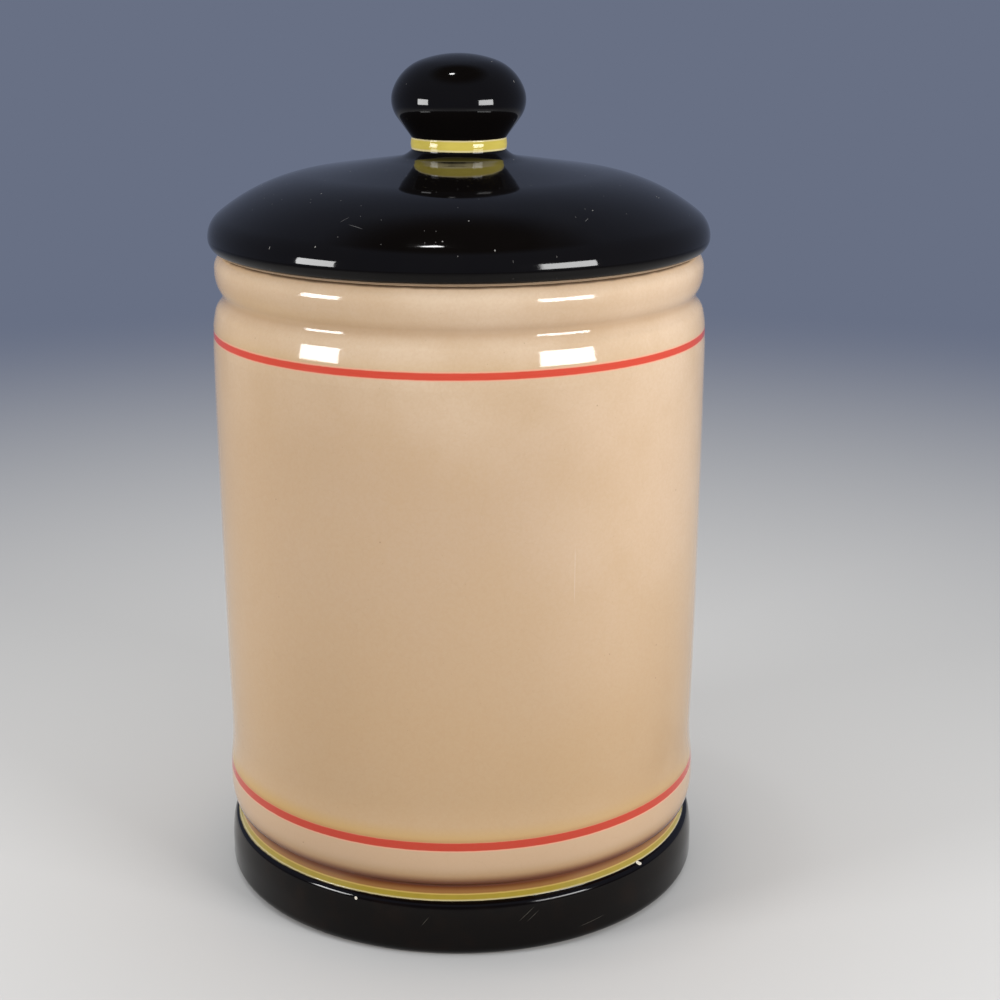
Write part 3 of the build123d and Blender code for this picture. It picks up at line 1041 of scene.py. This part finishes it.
def makeLidGlaze(paint, name, gloss):
    material, tree, shader, place = newFinish(name)
    axes = put(tree, "SeparateXYZ", {0: place}).outputs
    slow = sway(place, size=14, seed=61.0, amount=0.35)
    quick = sway(place, size=1.6, seed=62.0, amount=0.12, detail=3.0)
    height = plus(axes[2], plus(slow, quick))
    colour = lay(tint(*paint["black"]), paint["blackSoft"], cloud(place, size=16, seed=63.0, detail=4.0))

    # banded neck, with the pale ground showing at both edges of the colour
    low, high = paint["bandLevels"]
    lowInset, highInset = paint["bandInset"]
    band = between(height, low, high, lowBlur=0.25, highBlur=0.25)
    body = between(height, low + lowInset, high - highInset, lowBlur=0.5, highBlur=0.4)
    streak = put(tree, "Mapping", {"Vector": place, "Scale": (0.2, 0.2, 1.2)}).outputs[0]
    tone = cloud(streak, size=1.0, seed=64.0, detail=3.0)
    colours = lay(tint(*paint["band"]), paint["bandDeep"], tone)
    colours = cover(tint(*paint["bandEdge"]), colours, body)
    colour = cover(colour, colours, band)

    # a thin pale line in the colour of bare clay along the lower edge: a painted reflection of the cream
    # collar in the glaze
    level, blur = paint["clayLevel"], paint["clayBlur"]
    paintedReflection = fade(height, level - blur, level + blur, start=1.0, end=0.0)
    flat = put(tree, "CombineXYZ", {0: axes[0], 1: axes[1]}).outputs[0]
    reach = put(tree, "VectorMath", {0: flat}, operation="LENGTH").outputs["Value"]
    paintedReflection = times(paintedReflection, fade(reach, *paint["clayInner"]))
    colour = lay(colour, paint["clayReflection"], paintedReflection)
    dust, scratched = dustAndScratches(place, paint)
    colour = lay(colour, paint["dust"], dust, paint["dustStrength"])
    colour = lay(colour, paint["scratch"], scratched, paint["scratchStrength"])

    # gloss and relief
    rough = fade(cloud(place, size=22, seed=66.0, detail=5.0), 0.48, 0.75, *paint["roughness"])
    rough = plus(rough, times(most([dust, scratched]), paint["markRough"]))
    rough = plus(rough, times(paintedReflection, paint["clayRough"]))
    relief = sway(place, size=26, seed=67.0, amount=paint["waves"])
    relief = plus(relief, sway(place, size=4.2, seed=68.0, amount=paint["peel"]))
    relief = plus(relief, times(scratched, -paint["scratchDepth"]))
    finishWith(tree, shader, colour, rough, relief)
    shader.inputs["IOR"].default_value = paint["ior"]
    shader.inputs["Specular IOR Level"].default_value = gloss
    return material


blackGlaze = makeLidGlaze(lidPaint, "blackGlaze", lidPaint["gloss"])
edgeGlaze = makeLidGlaze(lidPaint, "edgeGlaze", lidPaint["edgeGloss"])
lidMesh = spinRound(drawLid(lid), lid["steps"])
unevenCast(lidMesh, lid, seed=11.0)
lidFinishes = {"outside": blackGlaze, "inside": insideGlaze, "bare": bareClay, "underEdge": edgeGlaze}
lidPiece = finishPiece(lidMesh, "lidCasting", lidFinishes, lidZone, lid)
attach(lidPiece, "lid")
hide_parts("lid")
print("lid made:", len(lidPiece.data.polygons), "faces")


# Floor, lamps and world

studio = {
    "floorRadius": 20.0,
    "floorColour": (190, 190, 190),
    "bounceColour": (104, 84, 62),  # what the floor throws back onto the jar
    "farColour": (104, 112, 132),
    "topColour": (28, 25, 24),
    "fillAround": 0.08,
    "fillBehind": 0.9,
    "fillAbove": 0.85,
    "nearFloor": 0.16,  # metres from the jar, where the plain far colour starts to take over
    "farFloor": 1.1,
    "darkOverhead": (0.8, 0.96),  # where it starts and ends, as the upward part of the direction
    "fromAbove": (0.4, 0.95),
    "fromBehind": (-0.3, 0.8),  # and as the part away from the camera
    "softboxDistance": 0.70,
    "softboxAim": 0.266,  # the height that their elevations are taken from
}

# softboxes: degrees round from the front, lowest and highest elevation from the knob,
# width in degrees, glow
softboxes = (
    ("leftSoftbox", -62.5, -8.0, 9.0, 19.5, 21.0),
    ("rightSoftbox", 46.3, -8.0, 9.0, 25.5, 21.0),
)
overhead = {"place": (-0.135, -0.045, 1.34), "width": 0.12, "depth": 0.07, "glow": 42.0}


def addLamp(name, place, target, width, height, glow, shape):
    # glow is how bright the lamp looks: 1 is white
    data = bpy.data.lights.new(name, "AREA")
    data.shape = shape
    data.size = width
    data.size_y = height
    area = width * height * (pi / 4 if shape == "ELLIPSE" else 1)
    data.energy = glow * pi * area
    lamp = bpy.data.objects.new(name, data)
    lamp.location = place
    if target:
        lamp.rotation_euler = (Vector(target) - Vector(place)).to_track_quat("-Z", "Y").to_euler()
    lamp.visible_camera = False
    bpy.context.scene.collection.objects.link(lamp)


def addSoftbox(setup, name, turn, lowest, highest, spread, glow):
    distance = setup["softboxDistance"]
    bottom = setup["softboxAim"] + distance * tan(radians(lowest))
    top = setup["softboxAim"] + distance * tan(radians(highest))
    width = 2 * distance * tan(radians(spread / 2))
    place = Vector(around(turn)) * distance
    place.z = (bottom + top) / 2
    addLamp(name, place, (0, 0, place.z), width, top - bottom, glow, "RECTANGLE")


def seenDirectly(tree):
    # 1 for what the camera or a reflection sees, and 0 for the light that falls on the piece
    rays = tree.nodes.new("ShaderNodeLightPath").outputs
    return most([rays["Is Camera Ray"], rays["Is Glossy Ray"], rays["Is Transmission Ray"]])


def addFloor(setup):
    mesh = bmesh.new()
    bmesh.ops.create_circle(mesh, cap_ends=True, radius=setup["floorRadius"], segments=128)
    data = bpy.data.meshes.new("studioFloor")
    mesh.to_mesh(data)
    mesh.free()
    floor = bpy.data.objects.new("studioFloor", data)
    bpy.context.scene.collection.objects.link(floor)

    # a plain pale floor near the jar; further off, the same plain colour whatever the light there
    material = bpy.data.materials.new("paleFloor")
    material.use_nodes = True
    tree = material.node_tree
    tree.nodes.clear()
    place = tree.nodes.new("ShaderNodeTexCoord").outputs["Object"]
    reach = put(tree, "VectorMath", {0: place}, operation="LENGTH").outputs["Value"]
    seen = seenDirectly(tree)
    far = times(fade(reach, setup["nearFloor"], setup["farFloor"]), seen)
    tone = cover(tint(*setup["bounceColour"]), tint(*setup["floorColour"]), seen)
    near = put(tree, "BsdfDiffuse", {"Color": tone}).outputs[0]
    plain = put(tree, "Emission", {"Color": tint(*setup["farColour"])}).outputs[0]
    mixed = put(tree, "MixShader", {0: far, 1: near, 2: plain}).outputs[0]
    output = tree.nodes.new("ShaderNodeOutputMaterial")
    tree.links.new(mixed, output.inputs["Surface"])
    data.materials.append(material)


def addWorld(setup):
    # soft light for the piece, more from behind and above;
    # what is seen and mirrored is plain, and dark overhead
    world = bpy.data.worlds.new("studioWorld")
    world.use_nodes = True
    tree = world.node_tree
    tree.nodes.clear()
    direction = tree.nodes.new("ShaderNodeTexCoord").outputs["Generated"]
    axes = put(tree, "SeparateXYZ", {0: direction}).outputs
    overheadShare = fade(axes[2], *setup["darkOverhead"])
    look = lay(tint(*setup["farColour"]), setup["topColour"], overheadShare)
    seen = seenDirectly(tree)
    behind = fade(axes[1], *setup["fromBehind"], start=setup["fillAround"], end=setup["fillBehind"])
    above = fade(axes[2], *setup["fromAbove"], end=setup["fillAbove"])
    strength = plus(behind, above)
    fill = put(tree, "Background", {"Color": (1, 1, 1, 1), "Strength": strength}).outputs[0]
    shown = put(tree, "Background", {"Color": look, "Strength": 1.0}).outputs[0]
    mixed = put(tree, "MixShader", {0: seen, 1: fill, 2: shown}).outputs[0]
    output = tree.nodes.new("ShaderNodeOutputWorld")
    tree.links.new(mixed, output.inputs["Surface"])
    bpy.context.scene.world = world


addFloor(studio)
addWorld(studio)
for softbox in softboxes:
    addSoftbox(studio, *softbox)
addLamp("overheadLamp", overhead["place"], None, overhead["width"], overhead["depth"], overhead["glow"],
        "ELLIPSE")
print("studio lit")
